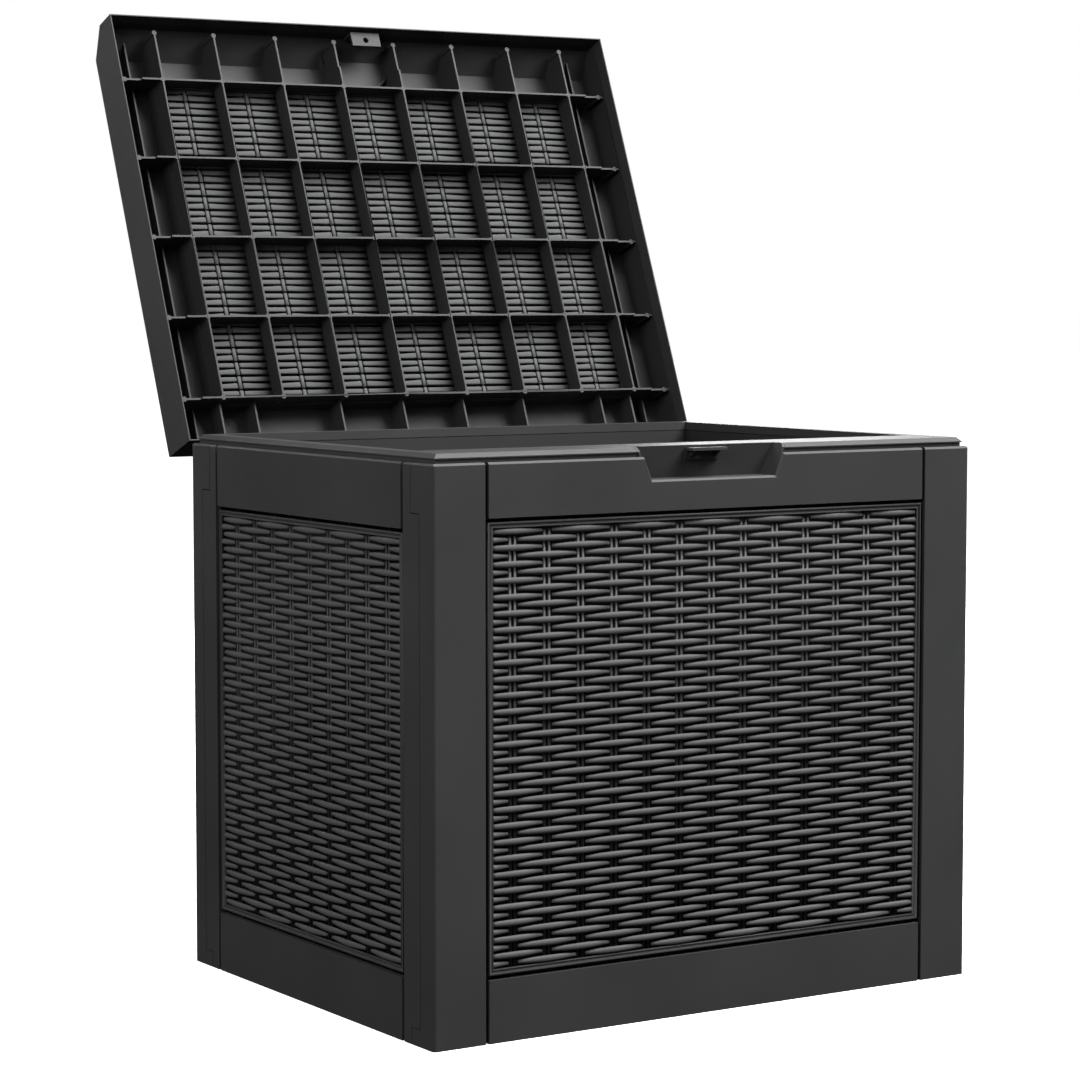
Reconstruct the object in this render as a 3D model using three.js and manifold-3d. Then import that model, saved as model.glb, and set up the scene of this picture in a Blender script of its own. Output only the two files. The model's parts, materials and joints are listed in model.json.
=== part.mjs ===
// A resin deck storage box with a hinged, rib-backed lid. Millimetres, +Z up, front towards -Y.
// The origin is the centre of the footprint, on the ground. The lid stands open on its stop.
import * as THREE from 'three';
import { mergeVertices } from 'three/addons/utils/BufferGeometryUtils.js';
import Module from 'manifold-3d';

const wasm = await Module();
wasm.setup();

// Driving dimensions
const WIDTH = 560;              // along X
const DEPTH = 430;              // along Y
const HEIGHT = 480;             // ground to the top of posts and rails
const OPEN_ANGLE = 112;         // lid opening held by its stop, degrees
const OVERCUT = 1;              // how far a cutting or joined solid runs past a face
const GAP = 0.3;                // between touching pieces

// Cladding: posts, stiles, rails and woven panels
const SKIN = 6;                 // thickness of the cladding pieces
const POST_WIDTH = 50;          // on the front and rear faces
const POST_RETURN = 21;         // on the side faces
const HOOK_STEP = 14;           // the seam's sideways step near the top and bottom
const HOOK_TOP = 41;            // upper step, below the top edge
const HOOK_BOTTOM = 14;         // lower step, above the ground
const SEAM = 0.7;               // between a post's return and its stile
const STILE_EDGE = 47.6;        // from the front or rear face to the stile's far edge
const GROOVE = 3.4;             // shadow gap round every rail and panel
const TOP_RAIL = { end: 45.7, side: 55 };
const BOTTOM_RAIL = 53;
const PANEL_SET_BACK = 1;       // woven panel's face behind the rails' faces
const PANEL_BEAD = 5;           // plain frame round the weave
const PANEL_WELL = 2.4;         // depth of the plain field inside that frame
const CORNER_RADIUS = 3;        // posts' vertical outer edges
const EDGE_CHAMFER = 1.8;       // round the cladding's top edge and the finger notch

// Inner walls, floor and rim
const WALL_INSET = 18.5;        // outer face of the inner walls, from the outside
const WALL = 3;
const WALL_RIB = 2;
const WALL_RIB_PITCH = 67;
const WALL_RIB_TOP = 4;         // ribs end this far below the top of the posts
const WALL_RIB_END = 40;        // no rib nearer than this to a wall's end
const WALL_FOOT = 2;            // walls stand clear of the ground
const NOTCH_RIB_MARGIN = 10;    // ribs this close to the finger notch stop below it
const FLOOR = { bottom: 10, thickness: 3, ribBottom: 3, rib: 2.4, padRadius: 20 };
const FLOOR_RIB_XS = [-200, 0, 200];
const FLOOR_RIB_YS = [-140, 0, 140];
const FLOOR_PADS = [[0, 0], [-200, -140], [200, -140], [-200, 140], [200, 140]];
const RIM_INSET = 4.5;          // rim's outer face, from the outside
const RIM_HEIGHT = 8;           // rim's top above the posts and rails
const RIM_PLATE = 3;
const RIM_LIP = { height: 4.6, overhang: 1.2, chamfer: 3.6 };   // the rim's top edge, over its face
const RIM_WIDTH = { front: 56, other: 17 };
const SHELF_FLANGE = 20;        // downward flange of the front shelf, from the rim's top
const SHELF_GUSSETS = { xs: [-202, -101, 101, 202], depth: 45, thickness: 2 };

// Finger notch and padlock keeper
const NOTCH = { halfTop: 72.5, halfBottom: 64.5, depth: 19.5, reach: 19, undercut: 6, wall: 2.5 };
const LOCK_HOLE = { radius: 3, y: -DEPTH / 2 + 11.5 };
const KEEPER = { half: 18, top: 6, thickness: 2.5, reach: 12.2 };
const KEEPER_FLANGE = { drop: 8, thickness: 2 };
const KEEPER_CHEEKS = { near: 12, far: 14, setBack: 3 };

// Lid
const LID_LIFT = 0.5;           // closed lid above the posts and rails
const LID_HEIGHT = 46;
const LID_WALL = 3;
const LID_LIP = { thickness: 1, taper: 12 };      // the skirt thins down to its lower edge
const LID_FRONT_HEIGHT = 25;    // upright part of the front skirt, below the slope
const LID_SLOPE_RUN = 27;
const FIELD = { half: 231.5, front: -154, rear: 170, underside: 29, thickness: 5 };
const TRAY_WALL = 2.6;
const RIB = 1.8;
const RIB_TIP = 10;             // rib tips inside the lid's rim plane
const RIB_XS = [-231.5, -168, -101, -34, 34, 101, 168, 231.5];
const CROSS_RIB_YS = [-154, -73, 8, 89, 170];
const REAR_RIB_XS = [-231.5, -195, -103, -34, 34, 103, 195, 231.5];
const REAR_RIB_TIP = 20;
const SIDE_RIB = { x: 254, tip: 32 };
const RIB_END_RELIEF = { x: 253, rise: 3 };
const NOSE_RIB_RELIEF = { halfX: 40, y: -175, rise: 2 };
const BOSS_RADIUS = 2.6;
const BOSS_SIDE_X = 270.5;
const BOSS_FRONT_Y = -202.4;
const SCOOP = { radius: 38, y: -200, floor: 40, thickness: 2.2, ridge: 3 };
const LOCK_TAB = { half: 16, bottom: 6.5, thickness: 2.5, rear: -197.3, upstand: 15 };

// Hinges
const HINGE_XS = { left: -150, right: 150 };
const HINGE_Y = DEPTH / 2 + 2.5;
const HINGE_Z = HEIGHT;
const HINGE = { length: 60, barrel: 4.2, bore: 2.1, leaf: 2.2, leafHeight: 32, knuckle: 20 };
const PIN = { radius: 1.8, overhang: 2.2, head: 3 };
const SCREW = { shank: 1.5, hole: 1.9, head: 3.6, headHeight: 1.8, offset: 20, reach: 6.5, drop: 17 };
const SCREW_SLOT = { half: 2.4, halfWidth: 0.5, depth: 0.9 };
const BARREL_CLEARANCE = 0.7;
const ROUND = 20;               // sides of a small round piece
const BOSS_SIDES = 8;
const HOLE_SIDES = 12;
const SCREW_HEAD_SIDES = 16;
const PAD_SIDES = 32;
const SCOOP_SIDES = 64;

// Worked-out planes
const X_OUT = WIDTH / 2;
const Y_OUT = DEPTH / 2;
const RIM_TOP = HEIGHT + RIM_HEIGHT;
const LID_RIM = HEIGHT + LID_LIFT;
const LID_TOP = LID_RIM + LID_HEIGHT;
const FIELD_UNDERSIDE = LID_RIM + FIELD.underside;
const WALL_FACE = WALL_INSET + WALL;      // inner faces of the inner walls, from the outside

const MATERIAL_COLOURS = {
  resin: { color: 0x3a3b3c, roughness: 0.48, metalness: 0 },
  resin_dark: { color: 0x2a2b2c, roughness: 0.55, metalness: 0 },
  wicker: { color: 0x444546, roughness: 0.5, metalness: 0 },
  steel: { color: 0x8e9094, roughness: 0.35, metalness: 1 },
};

// ---- geometry helpers -------------------------------------------------------------------------

function solid(geometry) {
  const bare = geometry.clone();
  bare.deleteAttribute('normal');
  bare.deleteAttribute('uv');
  const merged = mergeVertices(bare, 1e-4);
  const mesh = new wasm.Mesh({
    numProp: 3,
    vertProperties: new Float32Array(merged.attributes.position.array),
    triVerts: new Uint32Array(merged.index.array),
  });
  return new wasm.Manifold(mesh);
}

function toGeometry(manifold) {
  const mesh = manifold.getMesh();
  const geometry = new THREE.BufferGeometry();
  geometry.setAttribute('position', new THREE.BufferAttribute(mesh.vertProperties, 3));
  geometry.setIndex(new THREE.BufferAttribute(mesh.triVerts, 1));
  geometry.computeVertexNormals();
  return geometry;
}

function block([x0, x1], [y0, y1], [z0, z1]) {
  const geometry = new THREE.BoxGeometry(x1 - x0, y1 - y0, z1 - z0);
  geometry.translate((x0 + x1) / 2, (y0 + y1) / 2, (z0 + z1) / 2);
  return solid(geometry);
}

function outline(points) {
  return new THREE.Shape(points.map(([u, v]) => new THREE.Vector2(u, v)));
}

function extruded(shape, depth) {
  return new THREE.ExtrudeGeometry(shape, { depth, bevelEnabled: false, curveSegments: 6 });
}

// A prism along X from an outline in (y, z)
function prismX(points, [x0, x1]) {
  const geometry = extruded(outline(points), x1 - x0);
  geometry.applyMatrix4(new THREE.Matrix4().set(0, 0, 1, x0, 1, 0, 0, 0, 0, 1, 0, 0, 0, 0, 0, 1));
  return solid(geometry);
}

// A prism along Y from an outline in (x, z)
function prismY(points, [y0, y1]) {
  const geometry = extruded(outline(points), y1 - y0);
  geometry.rotateX(Math.PI / 2);
  geometry.translate(0, y1, 0);
  return solid(geometry);
}

// A prism along Z from a shape or outline in (x, y)
function prismZ(shape, [z0, z1]) {
  const geometry = extruded(Array.isArray(shape) ? outline(shape) : shape, z1 - z0);
  geometry.translate(0, 0, z0);
  return solid(geometry);
}

// A tapered block about the Z axis: half sizes in x and y at its foot, and at its top
function frustum(foot, top, [z0, z1]) {
  const side = (axis) => [[-foot[axis], z0], [foot[axis], z0], [top[axis], z1], [-top[axis], z1]];
  const reach = (axis) => Math.max(foot[axis], top[axis]);
  return prismY(side(0), [-reach(1), reach(1)]).intersect(prismX(side(1), [-reach(0), reach(0)]));
}

// A block about the Z axis, with its top edge chamfered all round at 45 degrees
function chamferedBlock([halfX, halfY], [z0, z1], chamfer) {
  const neck = [z0, z1 - chamfer];
  const straight = frustum([halfX, halfY], [halfX, halfY], neck);
  return straight.add(frustum([halfX, halfY], [halfX - chamfer, halfY - chamfer], [neck[1], z1]));
}

function rodX(radius, [x0, x1], y, z, sides = ROUND) {
  const geometry = new THREE.CylinderGeometry(radius, radius, x1 - x0, sides);
  geometry.rotateZ(Math.PI / 2);
  geometry.translate((x0 + x1) / 2, y, z);
  return solid(geometry);
}

function rodY(radius, [y0, y1], x, z, sides = ROUND) {
  const geometry = new THREE.CylinderGeometry(radius, radius, y1 - y0, sides);
  geometry.translate(x, (y0 + y1) / 2, z);
  return solid(geometry);
}

function rodZ(radius, [z0, z1], x, y, sides = ROUND) {
  const geometry = new THREE.CylinderGeometry(radius, radius, z1 - z0, sides);
  geometry.rotateX(Math.PI / 2);
  geometry.translate(x, y, (z0 + z1) / 2);
  return solid(geometry);
}

const join = (pieces) => pieces.reduce((whole, piece) => whole.add(piece));
const range = (low, high) => [Math.min(low, high), Math.max(low, high)];

// ---- scene graph ------------------------------------------------------------------------------

const box = new THREE.Group();
box.name = 'deck_storage_box';
const body = new THREE.Group();
const lid = new THREE.Group();
box.add(body, lid);

function place(group, name, manifold, material) {
  const finish = new THREE.MeshStandardMaterial(MATERIAL_COLOURS[material]);
  const mesh = new THREE.Mesh(toGeometry(manifold), finish);
  mesh.name = name;
  group.add(mesh);
}

// ---- corner posts and side stiles ----------------------------------------------------------------

const CORNERS = [
  ['front_left', -1, -1],
  ['front_right', 1, -1],
  ['rear_left', -1, 1],
  ['rear_right', 1, 1],
];

// The spaces that the cladding and the rim may fill, with their top edges chamfered all round
const cladding = chamferedBlock([X_OUT, Y_OUT], [0, HEIGHT], EDGE_CHAMFER);
const rimSpace = chamferedBlock([X_OUT - RIM_INSET, Y_OUT - RIM_INSET], [0, RIM_TOP], RIM_LIP.chamfer);

// The post's plan for one corner: an L with a rounded outer edge
function postPlan(sideX, endY, returnDepth) {
  const shape = new THREE.Shape();
  const x = (inset) => sideX * (X_OUT - inset);
  const y = (inset) => endY * (Y_OUT - inset);
  shape.moveTo(x(POST_WIDTH), y(0));
  shape.lineTo(x(CORNER_RADIUS), y(0));
  shape.quadraticCurveTo(x(0), y(0), x(0), y(CORNER_RADIUS));
  shape.lineTo(x(0), y(returnDepth));
  shape.lineTo(x(SKIN), y(returnDepth));
  shape.lineTo(x(SKIN), y(SKIN));
  shape.lineTo(x(POST_WIDTH), y(SKIN));
  shape.closePath();
  return shape;
}

function cornerPost(sideX, endY) {
  const middle = prismZ(postPlan(sideX, endY, POST_RETURN), [0, HEIGHT]);
  const wide = postPlan(sideX, endY, POST_RETURN + HOOK_STEP);
  const hooks = [prismZ(wide, [0, HOOK_BOTTOM]), prismZ(wide, [HEIGHT - HOOK_TOP, HEIGHT])];
  return join([middle, ...hooks]).intersect(cladding);
}

// The stile fills the rest of the side face's corner strip, stepped to match the post's return
function sideStile(sideX, endY) {
  const across = range(sideX * (X_OUT - SKIN), sideX * X_OUT);
  const along = (near) => range(endY * (Y_OUT - near), endY * (Y_OUT - STILE_EDGE));
  const full = block(across, along(POST_RETURN + HOOK_STEP + SEAM), [0, HEIGHT]);
  const middle = block(across, along(POST_RETURN + SEAM), [HOOK_BOTTOM + SEAM, HEIGHT - HOOK_TOP - SEAM]);
  return full.add(middle).intersect(cladding);
}

for (const [corner, sideX, endY] of CORNERS) {
  place(body, `corner_post_${corner}`, cornerPost(sideX, endY), 'resin');
  place(body, `side_stile_${corner}`, sideStile(sideX, endY), 'resin');
}

// ---- rails and woven panels ----------------------------------------------------------------------

// A face is worked on as if it were the front one: x along it, y outwards-negative, then turned
const FACES = {
  front: { half: X_OUT - POST_WIDTH - GROOVE, out: Y_OUT, turn: 0, topRail: TOP_RAIL.end },
  rear: { half: X_OUT - POST_WIDTH - GROOVE, out: Y_OUT, turn: 180, topRail: TOP_RAIL.end },
  left: { half: Y_OUT - STILE_EDGE - GROOVE, out: X_OUT, turn: -90, topRail: TOP_RAIL.side },
  right: { half: Y_OUT - STILE_EDGE - GROOVE, out: X_OUT, turn: 90, topRail: TOP_RAIL.side },
};

function wovenPanel({ half, out, topRail }) {
  const heights = [BOTTOM_RAIL + GROOVE, HEIGHT - topRail - GROOVE];
  const face = -out + PANEL_SET_BACK;
  const slab = block([-half, half], [face, -out + SKIN], heights);
  const inner = half - PANEL_BEAD;
  const wellHeights = [heights[0] + PANEL_BEAD, heights[1] - PANEL_BEAD];
  const well = block([-inner, inner], [face - OVERCUT, face + PANEL_WELL], wellHeights);
  return slab.subtract(well);
}

// The tub behind the finger notch: floor, slanted ends and back wall, open at the front and top
function notchOutline(grow, top) {
  const slant = (NOTCH.halfTop - NOTCH.halfBottom) / NOTCH.depth;
  const low = HEIGHT - NOTCH.depth - grow;
  const halfAt = (z) => NOTCH.halfBottom + (z - HEIGHT + NOTCH.depth) * slant + grow * Math.hypot(1, slant);
  return [[-halfAt(low), low], [halfAt(low), low], [halfAt(top), top], [-halfAt(top), top]];
}

// The tub's back wall leans out over its floor: y of its face at a height z
function notchBack(z) {
  return -Y_OUT + NOTCH.reach + (NOTCH.undercut * (RIM_TOP - z)) / (RIM_HEIGHT + NOTCH.depth);
}

// A solid of the tub's shape, from the front face inwards
function notchSolid(grow, top) {
  const wide = NOTCH.halfTop + RIM_HEIGHT;
  const low = HEIGHT - NOTCH.depth - grow;
  const front = -Y_OUT - OVERCUT;
  const [backLow, backTop] = [notchBack(low) + grow, notchBack(top) + grow];
  const side = prismX([[front, low], [backLow, low], [backTop, top], [front, top]], [-wide, wide]);
  return side.intersect(prismY(notchOutline(grow, top), [front, backLow]));
}

// Widens the notch at the front face with a chamfer at 45 degrees: one bevelled extrusion of its outline
function notchChamfer() {
  const size = EDGE_CHAMFER + OVERCUT;
  const bevel = { bevelEnabled: true, bevelThickness: size, bevelSize: size, bevelSegments: 1 };
  const inner = outline(notchOutline(0, HEIGHT + size));
  const geometry = new THREE.ExtrudeGeometry(inner, { depth: OVERCUT, ...bevel });
  geometry.rotateX(Math.PI / 2);
  geometry.translate(0, -Y_OUT - OVERCUT, 0);
  const outside = block([-X_OUT, X_OUT], [-Y_OUT - 2 * OVERCUT, -Y_OUT + EDGE_CHAMFER], [0, RIM_TOP]);
  return solid(geometry).intersect(outside);
}

function frontTopRail({ half, out, topRail }) {
  const low = HEIGHT - topRail;
  const [front, back] = [-out, -out + SKIN];
  const plate = block([-half, half], [front, back], [low, HEIGHT]).intersect(cladding);
  const behind = (face, top) => block([-half, half], [face, -out + NOTCH.reach * 2], [low, top]);
  const tub = notchSolid(NOTCH.wall, HEIGHT).intersect(behind(front + EDGE_CHAMFER, HEIGHT));
  const collar = notchSolid(NOTCH.wall, RIM_TOP).intersect(behind(front + RIM_INSET, RIM_TOP));
  const hollow = notchSolid(0, RIM_TOP + OVERCUT);
  return join([plate, tub, collar.intersect(rimSpace)]).subtract(hollow.add(notchChamfer()));
}

function rearTopRail({ half, out, topRail }) {
  const plate = block([-half, half], [out - SKIN, out], [HEIGHT - topRail, HEIGHT]);
  const cuts = Object.values(HINGE_XS).map(hingeClearance);
  const holes = Object.values(HINGE_XS).flatMap((x) => screwHoles(x, -1));
  return plate.intersect(cladding).subtract(join([...cuts, ...holes]));
}

for (const [face, spec] of Object.entries(FACES)) {
  const turned = (piece) => piece.rotate([0, 0, spec.turn]);
  const span = [-spec.half, spec.half];
  const thickness = [-spec.out, -spec.out + SKIN];
  const plainRail = block(span, thickness, [HEIGHT - spec.topRail, HEIGHT]);
  const special = { front: frontTopRail, rear: rearTopRail }[face];
  const topRail = special ? special(spec) : turned(plainRail).intersect(cladding);
  place(body, `top_rail_${face}`, topRail, 'resin');
  place(body, `bottom_rail_${face}`, turned(block(span, thickness, [0, BOTTOM_RAIL])), 'resin');
  place(body, `wicker_panel_${face}`, turned(wovenPanel(spec)), 'wicker');
}

// ---- inner walls, floor and rim --------------------------------------------------------------------

// An upright plate with outward ribs that back the cladding; half is its half length
function innerWall(half, out, ribTop) {
  const outer = -out + WALL_INSET;
  const plate = block([-half, half], [outer, outer + WALL], [WALL_FOOT, HEIGHT - GAP]);
  const ribs = [];
  const ribDepth = [-out + SKIN + GAP, outer + OVERCUT];
  const outermost = Math.floor((half - WALL_RIB_END) / WALL_RIB_PITCH);
  for (let i = -outermost; i <= outermost; i++) {
    const x = i * WALL_RIB_PITCH;
    ribs.push(block([x - WALL_RIB / 2, x + WALL_RIB / 2], ribDepth, [WALL_FOOT, ribTop(x)]));
  }
  return join([plate, ...ribs]);
}

const endWallHalf = X_OUT - WALL_INSET;
const sideWallHalf = Y_OUT - WALL_FACE - GAP;
const notchBase = HEIGHT - NOTCH.depth - NOTCH.wall - GAP;
const ribTopPlain = () => HEIGHT - WALL_RIB_TOP;
const ribTopFront = (x) => (Math.abs(x) < NOTCH.halfTop + NOTCH_RIB_MARGIN ? notchBase : ribTopPlain());
const notchCut = notchSolid(NOTCH.wall + GAP, RIM_TOP + OVERCUT);
const sideWall = innerWall(sideWallHalf, X_OUT, ribTopPlain);
const screwPockets = join(Object.values(HINGE_XS).flatMap((x) => screwHoles(x, -1)));

const frontWall = innerWall(endWallHalf, Y_OUT, ribTopFront);
const rearWall = innerWall(endWallHalf, Y_OUT, ribTopPlain).rotate([0, 0, FACES.rear.turn]);
place(body, 'inner_wall_front', frontWall.subtract(notchCut), 'resin_dark');
place(body, 'inner_wall_rear', rearWall.subtract(screwPockets), 'resin_dark');
place(body, 'inner_wall_left', sideWall.rotate([0, 0, FACES.left.turn]), 'resin_dark');
place(body, 'inner_wall_right', sideWall.rotate([0, 0, FACES.right.turn]), 'resin_dark');

function floorPanel() {
  const halfX = X_OUT - WALL_FACE - GAP;
  const halfY = Y_OUT - WALL_FACE - GAP;
  const pieces = [block([-halfX, halfX], [-halfY, halfY], [FLOOR.bottom, FLOOR.bottom + FLOOR.thickness])];
  const ribHeight = [FLOOR.ribBottom, FLOOR.bottom + OVERCUT];
  for (const y of FLOOR_RIB_YS) {
    pieces.push(block([-halfX, halfX], [y - FLOOR.rib / 2, y + FLOOR.rib / 2], ribHeight));
  }
  for (const x of FLOOR_RIB_XS) {
    pieces.push(block([x - FLOOR.rib / 2, x + FLOOR.rib / 2], [-halfY, halfY], ribHeight));
  }
  for (const [x, y] of FLOOR_PADS) {
    pieces.push(rodZ(FLOOR.padRadius, [0, FLOOR.bottom + OVERCUT], x, y, PAD_SIDES));
  }
  return join(pieces);
}
place(body, 'floor_panel', floorPanel(), 'resin_dark');

// The raised rim that the lid's skirt drops over: a channel, with a deep shelf along the front
function topRim() {
  const outX = X_OUT - RIM_INSET;
  const outY = Y_OUT - RIM_INSET;
  const inX = outX - RIM_WIDTH.other;
  const innerFront = -outY + RIM_WIDTH.front;
  const innerRear = outY - RIM_WIDTH.other;
  const faceX = outX - RIM_LIP.overhang;
  const faceY = outY - RIM_LIP.overhang;
  const face = block([-faceX, faceX], [-faceY, faceY], [HEIGHT + GAP, RIM_TOP]);
  const lip = block([-outX, outX], [-outY, outY], [RIM_TOP - RIM_LIP.height, RIM_TOP]);
  const mouth = block([-inX, inX], [innerFront, innerRear], [HEIGHT - OVERCUT, RIM_TOP + OVERCUT]);
  const channel = block(
    [-faceX + RIM_PLATE, faceX - RIM_PLATE],
    [-faceY + RIM_PLATE, faceY - RIM_PLATE],
    [HEIGHT - OVERCUT, RIM_TOP - RIM_PLATE],
  );
  const innerEdge = block(
    [-inX - RIM_PLATE, inX + RIM_PLATE],
    [innerFront - RIM_PLATE, innerRear + RIM_PLATE],
    [HEIGHT + GAP, RIM_TOP],
  );
  const shelfFace = [innerFront - RIM_PLATE, innerFront];
  const flange = block([-inX + GAP, inX - GAP], shelfFace, [RIM_TOP - SHELF_FLANGE, RIM_TOP]);
  const backOfWall = -Y_OUT + WALL_FACE + GAP;
  const plateTop = RIM_TOP - RIM_PLATE + OVERCUT;
  const flangeFoot = RIM_TOP - SHELF_FLANGE + OVERCUT;
  const brace = [
    [innerFront - OVERCUT, plateTop],
    [innerFront - OVERCUT, flangeFoot],
    [backOfWall, RIM_TOP - RIM_PLATE - SHELF_GUSSETS.depth],
    [backOfWall, plateTop],
  ];
  const halfWeb = SHELF_GUSSETS.thickness / 2;
  const gussets = SHELF_GUSSETS.xs.map((x) => prismX(brace, [x - halfWeb, x + halfWeb]));
  const hollowed = face.add(lip).intersect(rimSpace).subtract(channel).add(innerEdge).subtract(mouth);
  return hollowed.add(join([flange, ...gussets])).subtract(notchCut);
}
place(body, 'top_rim', topRim(), 'resin');

// A small shelf in the finger notch, with a hole for the shackle and a flange and two cheeks under it
function padlockKeeper() {
  const top = HEIGHT + KEEPER.top;
  const under = top - KEEPER.thickness;
  const foot = under - KEEPER_FLANGE.drop;
  const [backTop, backFoot] = [notchBack(top) - GAP, notchBack(foot) - GAP];
  const front = backTop - KEEPER.reach;
  const across = [-KEEPER.half, KEEPER.half];
  const shelf = prismX([[front, under], [backTop, under], [backTop, top], [front, top]], across);
  const thick = KEEPER_FLANGE.thickness;
  const wallSide = [[backFoot, foot], [backTop, top]];
  const flange = prismX([[backFoot - thick, foot], ...wallSide, [backTop - thick, top]], across);
  const { near, far, setBack } = KEEPER_CHEEKS;
  const nose = front + setBack;
  const cheek = [[nose, under], ...wallSide, [nose, top]];
  const cheeks = [-1, 1].map((side) => prismX(cheek, range(side * near, side * far)));
  const hole = rodZ(LOCK_HOLE.radius, [under - OVERCUT, top + OVERCUT], 0, LOCK_HOLE.y);
  return join([shelf, flange, ...cheeks]).subtract(hole);
}
place(body, 'padlock_keeper', padlockKeeper(), 'resin');

// ---- hinges ------------------------------------------------------------------------------------------

function hingeClearance(x) {
  const half = HINGE.length / 2 + PIN.overhang + OVERCUT;
  return rodX(HINGE.barrel + BARREL_CLEARANCE, [x - half, x + half], HINGE_Y, HINGE_Z);
}

// side is -1 for the body's leaf, below the pin, and 1 for the lid's leaf, above it
function screwZ(side) {
  return HINGE_Z + side * SCREW.drop;
}

function screwXs(x) {
  return [x - SCREW.offset, x + SCREW.offset];
}

function screwHoles(x, side) {
  const through = [Y_OUT - WALL_FACE - OVERCUT, HINGE_Y + HINGE.barrel];
  return screwXs(x).map((at) => rodY(SCREW.hole, through, at, screwZ(side), HOLE_SIDES));
}

function hingeLeaf(x, side) {
  const leafY = [Y_OUT + GAP, Y_OUT + GAP + HINGE.leaf];
  const half = HINGE.length / 2;
  const split = HINGE.knuckle / 2;
  const plate = block([x - half, x + half], leafY, range(HINGE_Z, HINGE_Z + side * HINGE.leafHeight));
  const ends = [[x - half, x - split - GAP], [x + split + GAP, x + half]];
  const middle = [[x - split, x + split]];
  const [own, others] = side < 0 ? [ends, middle] : [middle, ends];
  const barrels = own.map((span) => rodX(HINGE.barrel, span, HINGE_Y, HINGE_Z));
  const clear = HINGE.barrel + BARREL_CLEARANCE;
  const cuts = others.map(([x0, x1]) => {
    const depths = [Y_OUT - OVERCUT, HINGE_Y + OVERCUT];
    return block([x0 - GAP, x1 + GAP], depths, [HINGE_Z - clear, HINGE_Z + clear]);
  });
  const bore = rodX(HINGE.bore, [x - half - OVERCUT, x + half + OVERCUT], HINGE_Y, HINGE_Z);
  return join([plate.subtract(join(cuts)), ...barrels]).subtract(join([bore, ...screwHoles(x, side)]));
}

function hingePin(x) {
  const half = HINGE.length / 2;
  const shaft = rodX(PIN.radius, [x - half - PIN.overhang, x + half + PIN.overhang], HINGE_Y, HINGE_Z);
  const head = rodX(PIN.head, [x - half - PIN.overhang, x - half - GAP], HINGE_Y, HINGE_Z);
  const tail = rodX(PIN.head, [x + half + GAP, x + half + PIN.overhang], HINGE_Y, HINGE_Z);
  return join([shaft, head, tail]);
}

function screw(x, side) {
  const seat = Y_OUT + GAP + HINGE.leaf + GAP;
  const z = screwZ(side);
  const top = seat + SCREW.headHeight;
  const { half, halfWidth, depth } = SCREW_SLOT;
  const head = rodY(SCREW.head, [seat, top], x, z, SCREW_HEAD_SIDES);
  const shank = rodY(SCREW.shank, [seat - SCREW.reach - HINGE.leaf, seat + depth / 2], x, z, HOLE_SIDES);
  const slot = block([x - half, x + half], [top - depth, top + OVERCUT], [z - halfWidth, z + halfWidth]);
  const crossSlot = block([x - halfWidth, x + halfWidth], [top - depth, top + OVERCUT], [z - half, z + half]);
  return head.add(shank).subtract(slot.add(crossSlot));
}

for (const [side, x] of Object.entries(HINGE_XS)) {
  place(body, `hinge_body_leaf_${side}`, hingeLeaf(x, -1), 'steel');
  place(body, `hinge_pin_${side}`, hingePin(x), 'steel');
  place(lid, `hinge_lid_leaf_${side}`, hingeLeaf(x, 1), 'steel');
  screwXs(x).forEach((at, index) => {
    place(body, `body_screw_${side}_${index + 1}`, screw(at, -1), 'steel');
    place(lid, `lid_screw_${side}_${index + 1}`, screw(at, 1), 'steel');
  });
}

// ---- lid, drawn closed -----------------------------------------------------------------------------

// The lid's side view in (y, z); the inner one is inset by the wall and open below
function lidProfile(inset) {
  const front = -Y_OUT + inset;
  const top = LID_TOP - inset;
  const rim = inset ? LID_RIM - OVERCUT : LID_RIM;
  const slope = (LID_HEIGHT - LID_FRONT_HEIGHT) / LID_SLOPE_RUN;
  const offset = inset * (Math.hypot(1, slope) - slope);
  const shoulder = LID_RIM + LID_FRONT_HEIGHT - offset;
  const rear = Y_OUT - inset;
  const slopeEnd = front + (top - shoulder) / slope;
  return [[front, rim], [rear, rim], [rear, top], [slopeEnd, top], [front, shoulder]];
}

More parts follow.
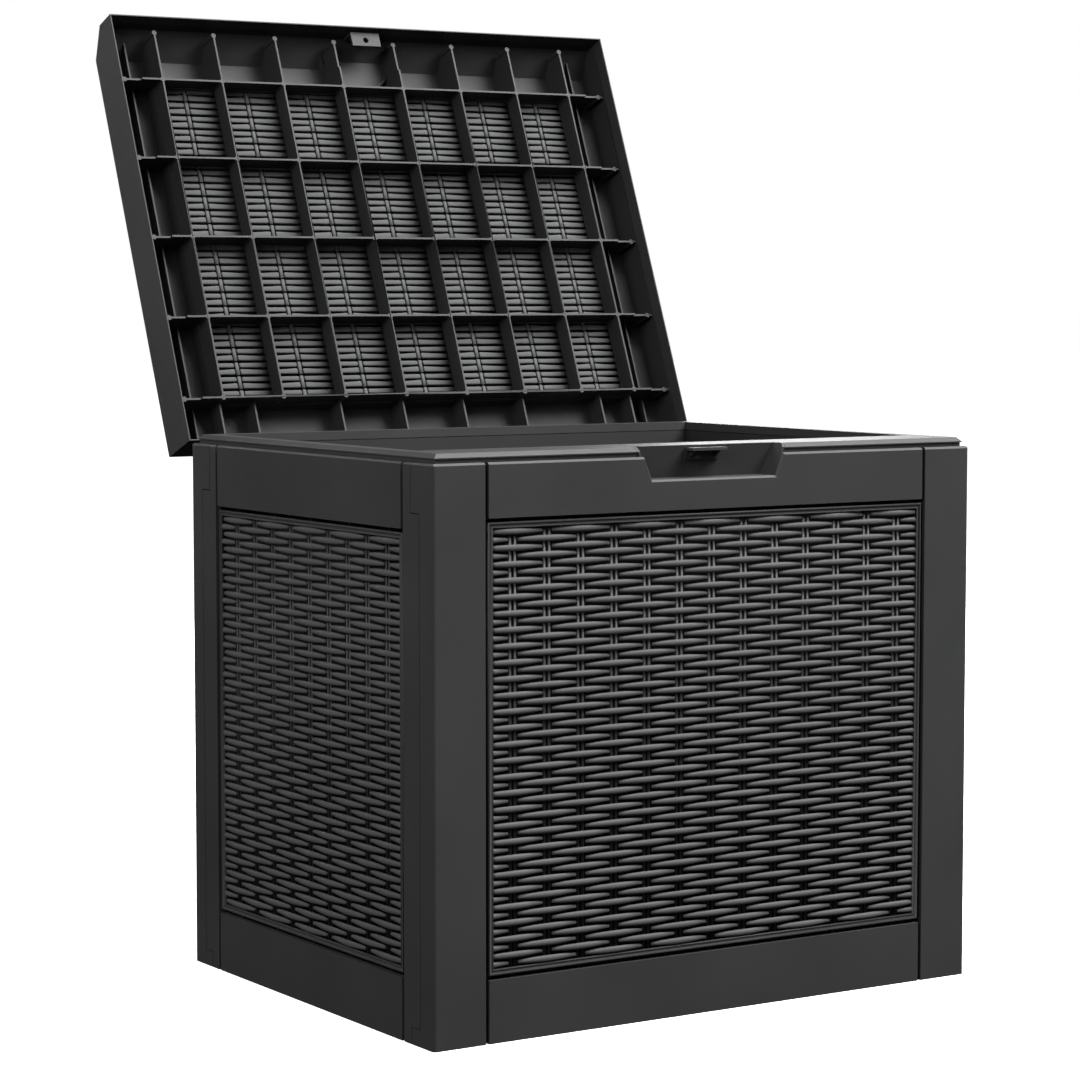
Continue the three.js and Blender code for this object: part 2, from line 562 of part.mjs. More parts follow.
function lidRibs() {
  const tip = LID_RIM + RIB_TIP;
  const pieces = [];
  for (const x of RIB_XS) {
    const nose = Math.abs(x) < NOSE_RIB_RELIEF.halfX ? NOSE_RIB_RELIEF.rise : 0;
    const across = [x - RIB / 2, x + RIB / 2];
    pieces.push(block(across, [NOSE_RIB_RELIEF.y, FIELD.rear], [tip, LID_TOP]));
    pieces.push(block(across, [BOSS_FRONT_Y, NOSE_RIB_RELIEF.y + OVERCUT], [tip + nose, LID_TOP]));
    pieces.push(rodZ(BOSS_RADIUS, [tip + nose, LID_TOP], x, BOSS_FRONT_Y, BOSS_SIDES));
  }
  for (const x of REAR_RIB_XS) {
    const heights = [LID_RIM + REAR_RIB_TIP, LID_TOP];
    pieces.push(block([x - RIB / 2, x + RIB / 2], [FIELD.rear, Y_OUT - OVERCUT], heights));
  }
  for (const y of CROSS_RIB_YS) {
    const along = [y - RIB / 2, y + RIB / 2];
    pieces.push(block([-RIB_END_RELIEF.x, RIB_END_RELIEF.x], along, [tip, LID_TOP]));
    pieces.push(block([-X_OUT + OVERCUT, X_OUT - OVERCUT], along, [tip + RIB_END_RELIEF.rise, LID_TOP]));
    for (const x of RIB_XS) {
      pieces.push(rodZ(BOSS_RADIUS, [tip, LID_TOP], x, y, BOSS_SIDES));
    }
    for (const x of [-BOSS_SIDE_X, BOSS_SIDE_X]) {
      pieces.push(rodZ(BOSS_RADIUS, [tip + RIB_END_RELIEF.rise, LID_TOP], x, y, BOSS_SIDES));
    }
  }
  for (const x of [-SIDE_RIB.x, SIDE_RIB.x]) {
    const lengths = [-Y_OUT + OVERCUT, Y_OUT - OVERCUT];
    pieces.push(block([x - RIB / 2, x + RIB / 2], lengths, [LID_RIM + SIDE_RIB.tip, LID_TOP]));
  }
  return join(pieces);
}

// Widens the lid's hollow towards the rim, so that the skirt ends in a thin lip
function lipTaper() {
  const mouth = [X_OUT - LID_LIP.thickness, Y_OUT - LID_LIP.thickness];
  const throat = [X_OUT - LID_WALL, Y_OUT - LID_WALL];
  const taper = frustum(mouth, throat, [LID_RIM, LID_RIM + LID_LIP.taper]);
  return taper.add(frustum(mouth, mouth, [LID_RIM - OVERCUT, LID_RIM]));
}

// The tray holds the woven field in a window through the lid's top
function lidFrame() {
  const outer = prismX(lidProfile(0), [-X_OUT, X_OUT]);
  const hollow = prismX(lidProfile(LID_WALL), [-X_OUT + LID_WALL, X_OUT - LID_WALL]);
  const rectangle = (grow, heights) => {
    const halfX = FIELD.half + GAP + grow;
    return block([-halfX, halfX], [FIELD.front - GAP - grow, FIELD.rear + GAP + grow], heights);
  };
  const tray = rectangle(TRAY_WALL, [FIELD_UNDERSIDE - TRAY_WALL, LID_TOP - OVERCUT]);
  const trayMouth = rectangle(-TRAY_WALL, [LID_RIM, LID_TOP + OVERCUT]);
  const window = rectangle(0, [FIELD_UNDERSIDE - GAP, LID_TOP + OVERCUT]);
  const scoopFloor = LID_RIM + SCOOP.floor;
  const scoopUnder = scoopFloor - SCOOP.thickness;
  const scoopHeights = [scoopUnder - SCOOP.ridge, LID_TOP];
  const scoopDrum = rodZ(SCOOP.radius + SCOOP.thickness, scoopHeights, 0, SCOOP.y, SCOOP_SIDES);
  const insideRidge = rodZ(SCOOP.radius, [LID_RIM, scoopUnder], 0, SCOOP.y, SCOOP_SIDES);
  const scoopSkin = scoopDrum.subtract(insideRidge);
  const scoop = rodZ(SCOOP.radius, [scoopFloor, LID_TOP + OVERCUT], 0, SCOOP.y, SCOOP_SIDES);
  const hinges = Object.values(HINGE_XS);
  const hingeCuts = [...hinges.map(hingeClearance), ...hinges.flatMap((x) => screwHoles(x, 1))];
  const inside = join([tray.subtract(trayMouth), lidRibs(), scoopSkin]).intersect(outer);
  const shell = outer.subtract(hollow.add(lipTaper()));
  return shell.add(inside).subtract(join([window, scoop, ...hingeCuts]));
}

// A ledge with a hole, on an upstand that is fixed to the inside of the front skirt
function lockTab() {
  const bottom = LID_RIM + LOCK_TAB.bottom;
  const front = -Y_OUT + LID_WALL + GAP;
  const across = [-LOCK_TAB.half, LOCK_TAB.half];
  const ledge = block(across, [front, LOCK_TAB.rear], [bottom, bottom + LOCK_TAB.thickness]);
  const upstand = block(across, [front, front + LOCK_TAB.thickness], [bottom, bottom + LOCK_TAB.upstand]);
  const holeHeights = [bottom - OVERCUT, bottom + LOCK_TAB.thickness + OVERCUT];
  return ledge.add(upstand).subtract(rodZ(LOCK_HOLE.radius, holeHeights, 0, LOCK_HOLE.y));
}

place(lid, 'lid_frame', lidFrame(), 'resin');
const fieldHeights = [FIELD_UNDERSIDE, FIELD_UNDERSIDE + FIELD.thickness];
const field = block([-FIELD.half, FIELD.half], [FIELD.front, FIELD.rear], fieldHeights);
place(lid, 'lid_wicker_panel', field, 'wicker');
place(lid, 'lid_lock_tab', lockTab(), 'resin');

// The lid swings about the hinge pins: draw it closed, then turn it back to its open stop
for (const mesh of lid.children) {
  mesh.geometry.translate(0, -HINGE_Y, -HINGE_Z);
}
lid.position.set(0, HINGE_Y, HINGE_Z);
lid.rotation.x = -THREE.MathUtils.degToRad(OPEN_ANGLE);

export default box;
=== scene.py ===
import json
import math

import bpy
from mathutils import Matrix, Vector


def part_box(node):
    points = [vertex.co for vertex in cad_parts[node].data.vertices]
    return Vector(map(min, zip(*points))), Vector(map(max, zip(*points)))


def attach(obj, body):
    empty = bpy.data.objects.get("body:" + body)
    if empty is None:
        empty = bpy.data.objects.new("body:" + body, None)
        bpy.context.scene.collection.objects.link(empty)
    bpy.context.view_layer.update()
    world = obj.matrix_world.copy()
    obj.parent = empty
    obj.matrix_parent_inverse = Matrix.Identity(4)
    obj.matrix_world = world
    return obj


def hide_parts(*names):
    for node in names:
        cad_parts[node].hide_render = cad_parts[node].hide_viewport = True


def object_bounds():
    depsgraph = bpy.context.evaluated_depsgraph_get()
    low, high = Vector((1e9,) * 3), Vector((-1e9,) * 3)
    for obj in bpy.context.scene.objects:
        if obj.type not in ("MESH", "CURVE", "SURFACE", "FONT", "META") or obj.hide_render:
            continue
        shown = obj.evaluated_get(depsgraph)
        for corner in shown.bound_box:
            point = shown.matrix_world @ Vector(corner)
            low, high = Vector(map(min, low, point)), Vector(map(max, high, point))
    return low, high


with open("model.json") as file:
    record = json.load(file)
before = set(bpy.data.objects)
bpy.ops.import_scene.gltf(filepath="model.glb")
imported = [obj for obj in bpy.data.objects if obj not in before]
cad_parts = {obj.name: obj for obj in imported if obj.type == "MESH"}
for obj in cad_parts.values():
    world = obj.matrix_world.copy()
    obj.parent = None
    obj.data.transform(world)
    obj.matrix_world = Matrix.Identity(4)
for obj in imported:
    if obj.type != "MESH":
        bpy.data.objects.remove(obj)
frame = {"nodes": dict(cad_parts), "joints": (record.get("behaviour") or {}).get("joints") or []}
cad_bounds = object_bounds()

MM = 0.001

# The camera, in metres and radians
CAMERA_PLACE = Vector((-1.597, -2.423, 0.620))
CAMERA_TURN = math.radians(-32.74)
CAMERA_DIP = math.radians(4.47)
CAMERA_LENS = 106.8

# The studio. The dome's strength is "below" under the height "low", and "above" over the height "high"
DOME = {"below": 0.02, "low": -0.2, "above": 0.45, "high": 0.9}
FLOOR_GLOW = 0.85
FLOOR_HALF = 20                 # half the floor's width
FLOOR_DROP = 0.2 * MM           # its face below the object's lowest point
LIGHTS = [
    # name, place, aimed at, size, watts
    ("key", (1.7, -1.4, 3.6), (0, 0, 0.4), (2.8, 2.8), 610),
    ("back", (0.9, 2.8, 1.2), (0, 0, 0.5), (3.0, 1.5), 130),
    ("fill", (-2.8, -1.6, 1.9), (0, 0, 0.4), (1.5, 1.5), 55),
    ("side", (-2.2, 0.8, 1.5), (-0.28, 0, 0.45), (0.9, 0.9), 24),
]

# The weave
STAKE_PITCH = 33.5 * MM         # between pairs of upright stakes
STAKE_OFFSET = 2.4 * MM         # each stake from the middle of its pair
STAKE_HALF_WIDTH = 1.4 * MM
STAKE_TOP = 3.4 * MM            # a stake's face below the bead's face
STAKE_DEPTH = 1.5 * MM
STAKE_SIDES = 12
STRAND_LENGTH = 57 * MM
STRAND_HALF_HEIGHT = {"middle": 2.85 * MM, "end": 1.5 * MM}
STRAND_HALF_DEPTH = {"middle": 1.9 * MM, "end": 1.4 * MM}
STRAND_TAPER = 0.8              # below 1, a strand keeps its thickness until nearer its ends
STRAND_SWING = 1.25 * MM        # how far a strand swings in and out between stakes
STRAND_TOP = 0.1 * MM           # a strand's highest point below the bead's face
STRAND_STEPS = 14
STRAND_SIDES = 10
SHORTEST_STRAND = 4 * MM        # shorter ones at a panel's edge are left out
ROW_PITCH = 6.75 * MM
BACKING = 0.7 * MM              # thickness of the plate behind the weave, coloured near black as painted shade in the gaps

# The plain bead round a weave
BEAD_WIDTH = 5 * MM
BEAD_BAND = 0.9 * MM            # its flat band, below the outer lip's top
BEAD_INNER_LIP = 0.5 * MM       # its inner lip's top, below the outer lip's top

# The lid's woven field
LID_PAIRS = 13                  # pairs of stakes across its top
LID_CELL = 67 * MM              # between the lid's long ribs
LID_ROWS = 46                   # rows of weave along the lid
LID_WEAVE_RISE = 3.5 * MM       # the top weave's face above the plain panel's
PAD_DEPTH = 2.6 * MM
PAD_TOP = 0.1 * MM              # a pad's face behind the panel's underside
PAD_SINK = 0.05 * MM            # how deep the pads sit in the plate behind them, which is near black as painted shade
PAD_INNER = 3.0 * MM            # a pad's end from the middle of its strap
PAD_HALF_HEIGHT = 0.33          # of the row pitch
PAD_SWELL = 0.16                # of the row pitch, beside the strap
PAD_SWELL_END = 0.625           # share of the pad's length where the swelling ends
PAD_ROUNDING = 0.25             # of its half height, at the strap
PAD_STATIONS = (0, 0.04, 0.2, 0.4, 0.7, 1)
PAD_SIDES = 14
PAD_BOXINESS = 4.0
STRAP_HALF = 1.9 * MM
STRAP_RISE = 0.2 * MM           # a strap's face in front of the panel's underside
STRAP_END_DROP = 0.5 * MM       # its ends' face behind it
STRAP_ROUNDING = 0.6 * MM
STRAP_SIDES = 12
STRAP_GAP = 1.3 * MM            # between the ends of two straps

# Roundings of the moulded and steel pieces' edges, by finish
EDGE_RADIUS = {"resin": 1.2 * MM, "inner_resin": 0.5 * MM, "steel": 0.25 * MM}


# ---- mesh pieces ------------------------------------------------------------------------------

SHARP = 1e9                     # a cross-section's power that gives it square corners


def ring_point(turn, power):
    """A point of a rounded cross-section: power 2 is an ellipse, and higher powers are boxier."""
    def soften(value):
        return math.copysign(abs(value) ** (2 / power), value)
    return soften(math.cos(turn)), soften(math.sin(turn))


def swept_bar(stations, sides, power=2.0):
    """A closed bar along u. A station is (u, lowest v, highest v, lowest w, highest w)."""
    ring = [ring_point(2 * math.pi * i / sides, power) for i in range(sides)]
    points = []
    for u, v0, v1, w0, w1 in stations:
        for across, out in ring:
            v = (v0 + v1) / 2 + across * (v1 - v0) / 2
            w = (w0 + w1) / 2 + out * (w1 - w0) / 2
            points.append((u, v, w))
    faces = []
    for row in range(len(stations) - 1):
        for i in range(sides):
            a, b = row * sides + i, row * sides + (i + 1) % sides
            faces.append((a, b, b + sides, a + sides))
    last = (len(stations) - 1) * sides
    faces.append(tuple(range(sides - 1, -1, -1)))
    faces.append(tuple(range(last, last + sides)))
    return points, faces


def upright(bar):
    """The same bar along v instead of u."""
    points, faces = bar
    return [(v, u, w) for u, v, w in points], [tuple(reversed(face)) for face in faces]


def moved(bar, u, v):
    points, faces = bar
    return [(pu + u, pv + v, pw) for pu, pv, pw in points], faces


class Pieces:
    """Collects closed pieces in panel coordinates: u along the panel, v up it, w out of it."""

    def __init__(self):
        self.points = []
        self.faces = []
        self.finishes = []

    def add(self, piece, finish):
        points, faces = piece
        start = len(self.points)
        self.points.extend(points)
        self.faces.extend(tuple(start + i for i in face) for face in faces)
        self.finishes.extend([finish] * len(faces))

    def make(self, name, place, materials):
        """The collected pieces as one object, with place as the matrix from panel to frame."""
        mesh = bpy.data.meshes.new(name)
        mesh.from_pydata(self.points, [], self.faces)
        mesh.transform(place)
        for material in materials:
            mesh.materials.append(material)
        mesh.polygons.foreach_set("material_index", self.finishes)
        mesh.polygons.foreach_set("use_smooth", [True] * len(self.faces))
        mesh.update()
        piece = bpy.data.objects.new(name, mesh)
        bpy.context.scene.collection.objects.link(piece)
        return piece


def mitred_frame(profile, half_u, half_v):
    """A rectangular frame. The profile is (inset from the outer edge, w), going round it once."""
    corners = [(-1, -1), (1, -1), (1, 1), (-1, 1)]
    points = []
    for inset, w in profile:
        points.extend((cu * (half_u - inset), cv * (half_v - inset), w) for cu, cv in corners)
    faces = []
    count = len(profile)
    for i in range(count):
        for c in range(4):
            a, b = i * 4 + c, i * 4 + (c + 1) % 4
            d, e = (i + 1) % count * 4 + c, (i + 1) % count * 4 + (c + 1) % 4
            faces.append((a, b, e, d))
    return points, faces


def plate(half_u, half_v, w0, w1):
    """A thin plate: flat at w1, and flat at its back at w0."""
    return swept_bar([(u, -half_v, half_v, w0, w1) for u in (-half_u, half_u)], 4, SHARP)


# ---- the weave --------------------------------------------------------------------------------

# The backs' near-black finish is painted shade for the deep gaps between strands
STRANDS, PAINTED_SHADE_BACKS, BEADS, PAINTED_SHADE_STAKES = range(4)        # places in WEAVE_FINISHES


def eased(ends, share):
    """Between ends["end"] and ends["middle"]: share is 1 in the middle and 0 at the ends."""
    return ends["end"] + (ends["middle"] - ends["end"]) * share


def strand(start, end):
    """One visible stretch of a weaver, from start to end along u, passing over the stakes at u = 0."""
    highest = -STRAND_TOP - STRAND_SWING
    stations = []
    for i in range(STRAND_STEPS + 1):
        u = start + (end - start) * i / STRAND_STEPS
        share = max(0.0, math.cos(math.pi * u / STRAND_LENGTH)) ** STRAND_TAPER
        half = eased(STRAND_HALF_HEIGHT, share)
        top = highest + STRAND_SWING * math.cos(math.pi * u / STAKE_PITCH)
        stations.append((u, -half, half, top - 2 * eased(STRAND_HALF_DEPTH, share), top))
    return swept_bar(stations, STRAND_SIDES)


def add_weave(pieces, half_u, half_v, pairs, rows):
    """Stakes and weavers that fill a rectangle centred on the panel's origin."""
    row_pitch = 2 * half_v / rows
    columns = [(i - (pairs - 1) / 2) * STAKE_PITCH for i in range(pairs)]
    half_width = STAKE_HALF_WIDTH
    depths = (-STAKE_TOP - STAKE_DEPTH, -STAKE_TOP)
    ends = [(v, -half_width, half_width, *depths) for v in (-half_v, half_v)]
    stake = upright(swept_bar(ends, STAKE_SIDES))
    for u in columns:
        for side in (-1, 1):
            # The stakes take the darker resin as painted shade, since they sit deeper than the strands
            pieces.add(moved(stake, u + side * STAKE_OFFSET, 0), PAINTED_SHADE_STAKES)
    reach = STRAND_LENGTH / 2
    for row in range(rows):
        v = half_v - (row + 0.5) * row_pitch
        for index in range(-1, pairs + 1):
            if (index + row) % 2:
                continue
            u = (index - (pairs - 1) / 2) * STAKE_PITCH
            start, end = max(-reach, -half_u - u), min(reach, half_u - u)
            if end - start > SHORTEST_STRAND:
                pieces.add(moved(strand(start, end), u, v), STRANDS)


def bead_profile(depth):
    """The plain frame's section: a raised outer lip, a lower flat band and a thin inner lip."""
    inner_lip = [
        (BEAD_WIDTH, -BEAD_BAND),
        (BEAD_WIDTH - 0.3 * MM, -BEAD_INNER_LIP),
        (BEAD_WIDTH - 0.9 * MM, -BEAD_INNER_LIP),
        (BEAD_WIDTH - 1.2 * MM, -BEAD_BAND),
    ]
    outer_lip = [
        (1.9 * MM, -BEAD_BAND),
        (1.4 * MM, -0.1 * MM),
        (0.9 * MM, 0),
        (0.3 * MM, -0.25 * MM),
        (0, -0.8 * MM),
    ]
    return [(0, -depth), (BEAD_WIDTH, -depth), *inner_lip, *outer_lip]


def woven_pieces(half_u, half_v, depth, pairs, rows):
    """A bead, a plate at its back coloured near black as painted shade, and the weave between them."""
    pieces = Pieces()
    pieces.add(mitred_frame(bead_profile(depth), half_u, half_v), BEADS)
    inner_u, inner_v = half_u - BEAD_WIDTH, half_v - BEAD_WIDTH
    pieces.add(plate(inner_u, inner_v, -depth, -depth + BACKING), PAINTED_SHADE_BACKS)
    add_weave(pieces, inner_u, inner_v, pairs, rows)
    return pieces


# ---- finishes ---------------------------------------------------------------------------------

NOISE_RANGE = (0.3, 0.7)        # where most of a noise's values lie
GLOSS_DRIFT = 0.015             # how far roughness strays either way
TONE_SCALE, GLOSS_SCALE, GRAIN_SCALE = 7, 90, 1400
DRAWN = (0.05, 1, 1)            # stretches a noise along X, as drawn steel is


def new_material(name):
    material = bpy.data.materials.new(name)
    material.use_nodes = True
    tree = material.node_tree
    return material, tree.nodes, tree.links, tree.nodes["Principled BSDF"]


def noise(nodes, links, scale, detail, stretch=(1, 1, 1)):
    coordinates = nodes.new("ShaderNodeTexCoord")
    mapping = nodes.new("ShaderNodeMapping")
    mapping.inputs["Scale"].default_value = stretch
    texture = nodes.new("ShaderNodeTexNoise")
    texture.inputs["Scale"].default_value = scale
    texture.inputs["Detail"].default_value = detail
    links.new(coordinates.outputs["Object"], mapping.inputs["Vector"])
    links.new(mapping.outputs["Vector"], texture.inputs["Vector"])
    return texture.outputs["Fac"]


def ramp(nodes, links, source, low, high):
    """Maps the middle of a noise's range onto low to high, which are greys or colours."""
    node = nodes.new("ShaderNodeValToRGB")
    for element, position, value in zip(node.color_ramp.elements, NOISE_RANGE, (low, high)):
        element.position = position
        element.color = (value, value, value, 1) if isinstance(value, float) else (*value, 1)
    links.new(source, node.inputs["Fac"])
    return node.outputs["Color"]


def fine_bump(nodes, links, shader, height, strength, distance):
    bump = nodes.new("ShaderNodeBump")
    bump.inputs["Strength"].default_value = strength
    bump.inputs["Distance"].default_value = distance
    links.new(height, bump.inputs["Height"])
    links.new(bump.outputs["Normal"], shader.inputs["Normal"])


def moulded_resin(name, dark, light, roughness, grain, specular):
    """Satin black plastic: a slow drift of tone, uneven gloss and a fine moulded grain."""
    material, nodes, links, shader = new_material(name)
    tone = ramp(nodes, links, noise(nodes, links, TONE_SCALE, 3), dark, light)
    links.new(tone, shader.inputs["Base Color"])
    drift = noise(nodes, links, GLOSS_SCALE, 3)
    gloss = ramp(nodes, links, drift, roughness - GLOSS_DRIFT, roughness + GLOSS_DRIFT)
    links.new(gloss, shader.inputs["Roughness"])
    fine_bump(nodes, links, shader, noise(nodes, links, GRAIN_SCALE, 2), grain, 0.1 * MM)
    shader.inputs["Specular IOR Level"].default_value = specular
    return material


def plated_steel():
    """Dull zinc plating with a faint drawn grain."""
    material, nodes, links, shader = new_material("plated_steel")
    tone = ramp(nodes, links, noise(nodes, links, 300, 3), (0.40, 0.41, 0.42), (0.55, 0.56, 0.57))
    links.new(tone, shader.inputs["Base Color"])
    drawn = noise(nodes, links, 400, 2, DRAWN)
    links.new(ramp(nodes, links, drawn, 0.28, 0.42), shader.inputs["Roughness"])
    fine_bump(nodes, links, shader, drawn, 0.2, 0.05 * MM)
    shader.inputs["Metallic"].default_value = 1.0
    return material


# Each resin: name, darkest and lightest tone, roughness, grain, specular level
RESIN = moulded_resin("charcoal_resin", (0.026, 0.0263, 0.0267), (0.033, 0.0334, 0.034), 0.52, 0.22, 0.15)
# For the inner walls and floor; on the stakes its darker tone is painted shade for their deeper place in
# the weave
INNER_AND_STAKE_SHADE_RESIN = moulded_resin("inner_resin", (0.010, 0.0102, 0.0105), (0.014, 0.0143, 0.0147), 0.55, 0.3, 0.4)
WICKER = moulded_resin("woven_resin", (0.056, 0.0565, 0.0572), (0.066, 0.0666, 0.0674), 0.60, 0.25, 0.1)
# Painted shade: the backing's near-black colour stands for the shade in the deep gaps of the weave
SHADOW = moulded_resin("weave_painted_shade", (0.002, 0.002, 0.002), (0.003, 0.003, 0.003), 0.8, 0.2, 0.05)
STEEL = plated_steel()
WEAVE_FINISHES = [WICKER, SHADOW, RESIN, INNER_AND_STAKE_SHADE_RESIN]
FINISHES = {"resin": RESIN, "inner_resin": INNER_AND_STAKE_SHADE_RESIN, "steel": STEEL}


# ---- panels on the walls ----------------------------------------------------------------------

# For each wall: the direction its face looks, and its pairs of stakes
WALLS = {
    "front": (Vector((0, -1, 0)), 13),
    "rear": (Vector((0, 1, 0)), 13),
    "left": (Vector((-1, 0, 0)), 9),
    "right": (Vector((1, 0, 0)), 9),
}


def wall_panel(wall, out, pairs):
    """Stands a woven panel in the place of the wall's plain one. Out is the way its face looks."""
    node = f"wicker_panel_{wall}"
    low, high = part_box(node)
    middle, half = (low + high) / 2, (high - low) / 2
    up = Vector((0, 0, 1))
    along = up.cross(out)
    depth = 2 * abs(half.dot(out))
    face = middle + out * abs(half.dot(out))
    place = Matrix((along, up, out)).transposed().to_4x4()
    place.translation = face
    rows = round(2 * (half.z - BEAD_WIDTH) / ROW_PITCH)
    pieces = woven_pieces(abs(half.dot(along)), half.z, depth, pairs, rows)
    panel = pieces.make(f"woven_{wall}", place, WEAVE_FINISHES)
    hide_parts(node)
    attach(panel, "box")


for wall_name, (outward, pair_count) in WALLS.items():
    wall_panel(wall_name, outward, pair_count)


# ---- the lid's woven field --------------------------------------------------------------------

HINGE = frame["joints"][0]
OPEN_ANGLE = math.radians(HINGE["range_deg"][1])
HINGE_POINT = Vector(HINGE["pos_m"])
TO_HINGE = Matrix.Translation(HINGE_POINT)
SHUT_TO_REST = TO_HINGE @ Matrix.Rotation(-OPEN_ANGLE, 4, "X") @ TO_HINGE.inverted()
REST_TO_SHUT = SHUT_TO_REST.inverted()


def shut_box(node):
    """A lid node's lowest and highest corners with the lid shut."""
    points = [REST_TO_SHUT @ vertex.co for vertex in frame["nodes"][node].data.vertices]
    low = Vector(min(point[axis] for point in points) for axis in range(3))
    high = Vector(max(point[axis] for point in points) for axis in range(3))
    return low, high


def pad(side, tapered, row_pitch, reach):
    """The back of one strand, from its strap out to the rib. A tapered one swells beside the strap."""
    half = PAD_HALF_HEIGHT * row_pitch
    stations = []
    for share in PAD_STATIONS:
        swell = PAD_SWELL * row_pitch * max(0.0, 1 - share / PAD_SWELL_END) if tapered else 0
        round_off = PAD_ROUNDING * half if share == 0 else 0
        u = side * (PAD_INNER + (reach - PAD_INNER) * share)
        stations.append((u, -half + round_off, half + swell - round_off, -PAD_DEPTH, -PAD_TOP))
    if side < 0:
        stations.reverse()
    return swept_bar(stations, PAD_SIDES, PAD_BOXINESS)


def strap(length):
    """An upright stretch of a stake, seen from behind, with rounded ends."""
    half = length / 2
    narrow = STRAP_HALF - STRAP_ROUNDING
    stations = [
        (-half, -narrow, narrow, -PAD_DEPTH, -STRAP_END_DROP),
        (-half + STRAP_ROUNDING, -STRAP_HALF, STRAP_HALF, -PAD_DEPTH, STRAP_RISE),
        (half - STRAP_ROUNDING, -STRAP_HALF, STRAP_HALF, -PAD_DEPTH, STRAP_RISE),
        (half, -narrow, narrow, -PAD_DEPTH, -STRAP_END_DROP),
    ]
    return upright(swept_bar(stations, STRAP_SIDES, PAD_BOXINESS))


def lid_underside(half_u, half_v):
    """The back of the lid's weave: in each cell an upright strap with a pad each side of it, row by row."""
    pieces = Pieces()
    # The near-black plate behind the pads is painted shade for the gaps between them
    pieces.add(plate(half_u, half_v, -PAD_DEPTH - BACKING, -PAD_DEPTH + PAD_SINK), PAINTED_SHADE_BACKS)
    row_pitch = 2 * half_v / LID_ROWS
    cells = round(2 * half_u / LID_CELL)
    for column in range(cells):
        u = (column - (cells - 1) / 2) * LID_CELL
        for row in range(LID_ROWS):
            v = half_v - (row + 0.5) * row_pitch
            for side in (-1, 1):
                end = min(LID_CELL / 2, half_u - side * u)
                pieces.add(moved(pad(side, row % 2 == 1, row_pitch, end), u, v), STRANDS)
        for pair in range(LID_ROWS // 2):
            v = half_v - (2 * pair + 1) * row_pitch
            pieces.add(moved(strap(2 * row_pitch - STRAP_GAP), u, v), STRANDS)
    return pieces


def lid_field():
    """The lid's weave: one piece seen from outside, and one seen from underneath between the ribs."""
    low, high = shut_box("lid_wicker_panel")
    middle, half = (low + high) / 2, (high - low) / 2
    depth = high.z - low.z + LID_WEAVE_RISE - PAD_DEPTH - 2 * BACKING
    outside = Matrix.Translation((middle.x, middle.y, high.z + LID_WEAVE_RISE))
    top = woven_pieces(half.x, half.y, depth, LID_PAIRS, LID_ROWS)
    top_weave = top.make("woven_lid_top", SHUT_TO_REST @ outside, WEAVE_FINISHES)
    turned = Matrix.Translation((middle.x, middle.y, low.z)) @ Matrix.Rotation(math.pi, 4, "X")
    under = lid_underside(half.x, half.y)
    under_weave = under.make("woven_lid_underside", SHUT_TO_REST @ turned, WEAVE_FINISHES)
    for piece in (top_weave, under_weave):
        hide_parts("lid_wicker_panel")
        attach(piece, "lid")


lid_field()


# ---- the moulded and steel pieces -------------------------------------------------------------

def finish_of(node):
    if node.startswith("hinge") or "screw" in node:
        return "steel"
    if node.startswith("inner_wall") or node == "floor_panel":
        return "inner_resin"
    return "resin"


def soften_edges(piece, width):
    """Joins the triangles of each flat face, then rounds the edges between faces."""
    flat = piece.modifiers.new("flat_faces", "DECIMATE")
    flat.decimate_type = "DISSOLVE"
    flat.angle_limit = math.radians(1)
    bevel = piece.modifiers.new("edge_radius", "BEVEL")
    bevel.width = width
    bevel.segments = 2
    bevel.limit_method = "ANGLE"
    bevel.angle_limit = math.radians(35)


for node_name, node_object in frame["nodes"].items():
    if node_name.startswith("wicker_panel") or node_name == "lid_wicker_panel":
        continue
    slot = finish_of(node_name)
    node_object.data.materials.clear()
    node_object.data.materials.append(FINISHES[slot])
    soften_edges(node_object, EDGE_RADIUS[slot])


# ---- studio -----------------------------------------------------------------------------------

def aimed_light(name, place, target, size, power):
    light = bpy.data.lights.new(name, "AREA")
    light.shape = "RECTANGLE"
    light.size, light.size_y = size
    light.energy = power
    lamp = bpy.data.objects.new(name, light)
    lamp.location = place
    lamp.rotation_euler = (Vector(target) - Vector(place)).to_track_quat("-Z", "Y").to_euler()
    lamp.visible_camera = False
    bpy.context.scene.collection.objects.link(lamp)


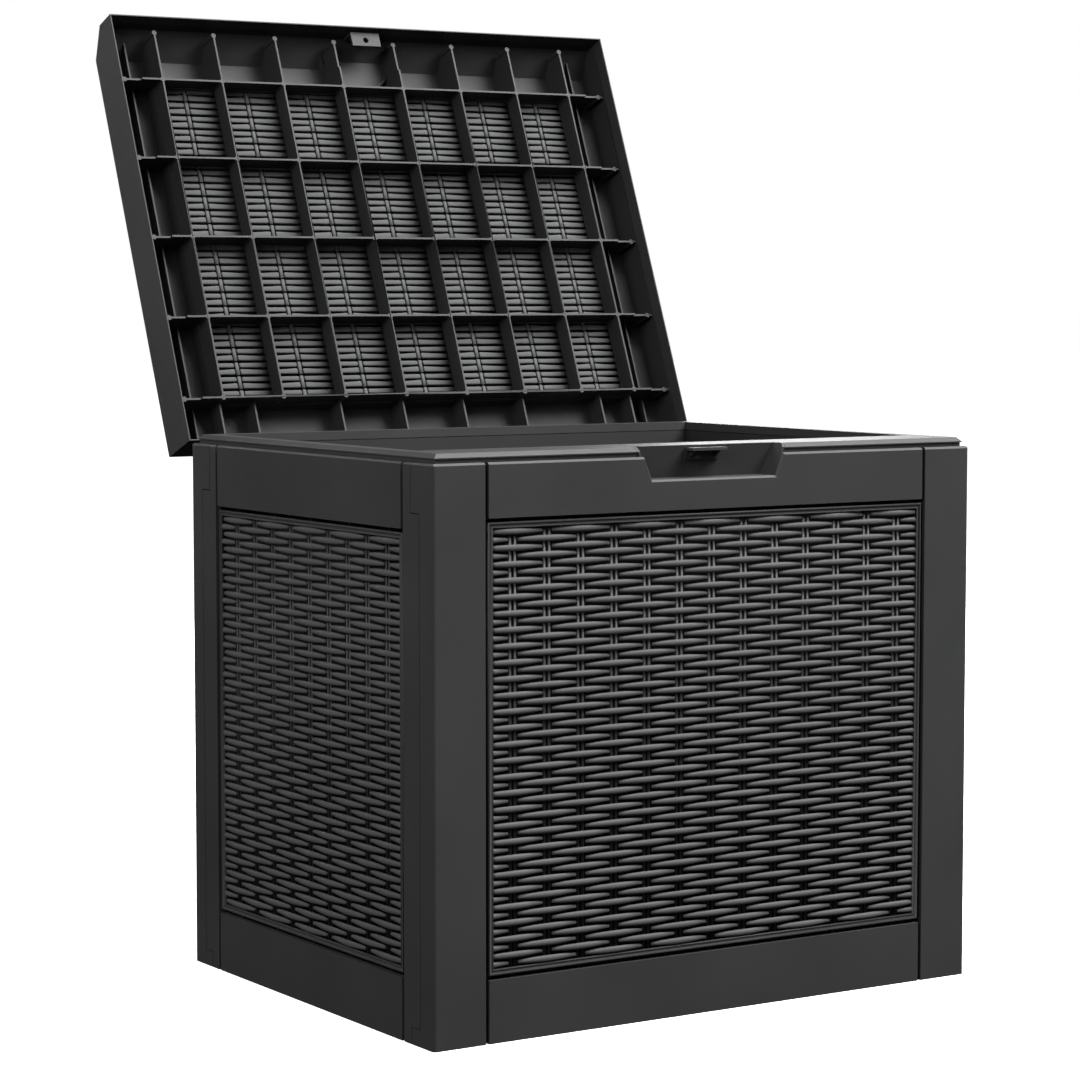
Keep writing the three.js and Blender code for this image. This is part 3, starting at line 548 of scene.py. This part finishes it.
def pale_floor():
    """A white floor that takes the object's shadow but throws no light back up at it."""
    mesh = bpy.data.meshes.new("floor")
    level = cad_bounds[0].z - FLOOR_DROP
    corners = [(x * FLOOR_HALF, y * FLOOR_HALF, level) for x, y in ((-1, -1), (1, -1), (1, 1), (-1, 1))]
    mesh.from_pydata(corners, [], [(0, 1, 2, 3)])
    floor = bpy.data.objects.new("floor", mesh)
    material, nodes, links, shader = new_material("pale_floor")
    shader.inputs["Base Color"].default_value = (0.8, 0.8, 0.8, 1)
    shader.inputs["Roughness"].default_value = 0.9
    shader.inputs["Specular IOR Level"].default_value = 0.0
    shader.inputs["Emission Color"].default_value = (1, 1, 1, 1)
    shader.inputs["Emission Strength"].default_value = FLOOR_GLOW
    mesh.materials.append(material)
    floor.visible_diffuse = False
    floor.visible_glossy = False
    bpy.context.scene.collection.objects.link(floor)


def studio_world():
    """Soft light from a dome that is bright above and dark below; what the camera sees of it is white."""
    world = bpy.data.worlds.new("studio")
    bpy.context.scene.world = world
    world.use_nodes = True
    nodes, links = world.node_tree.nodes, world.node_tree.links
    coordinates = nodes.new("ShaderNodeTexCoord")
    split = nodes.new("ShaderNodeSeparateXYZ")
    links.new(coordinates.outputs["Generated"], split.inputs["Vector"])
    height = nodes.new("ShaderNodeMapRange")
    height.inputs["From Min"].default_value = DOME["low"]
    height.inputs["From Max"].default_value = DOME["high"]
    height.inputs["To Min"].default_value = DOME["below"]
    height.inputs["To Max"].default_value = DOME["above"]
    links.new(split.outputs["Z"], height.inputs["Value"])
    dome = nodes["Background"]
    links.new(height.outputs["Result"], dome.inputs["Strength"])
    dome.inputs["Color"].default_value = (1, 1, 1, 1)
    backdrop = nodes.new("ShaderNodeBackground")
    backdrop.inputs["Color"].default_value = (1, 1, 1, 1)
    path = nodes.new("ShaderNodeLightPath")
    choose = nodes.new("ShaderNodeMixShader")
    links.new(path.outputs["Is Camera Ray"], choose.inputs["Fac"])
    links.new(dome.outputs["Background"], choose.inputs[1])
    links.new(backdrop.outputs["Background"], choose.inputs[2])
    links.new(choose.outputs["Shader"], nodes["World Output"].inputs["Surface"])


def main_camera():
    camera = bpy.data.objects.new("camera", bpy.data.cameras.new("camera"))
    camera.data.lens = CAMERA_LENS
    camera.location = CAMERA_PLACE
    camera.rotation_euler = (math.pi / 2 - CAMERA_DIP, 0, CAMERA_TURN)
    bpy.context.scene.collection.objects.link(camera)
    bpy.context.scene.camera = camera


pale_floor()
studio_world()
main_camera()
for light in LIGHTS:
    aimed_light(*light)
bpy.context.scene.view_settings.view_transform = "Standard"
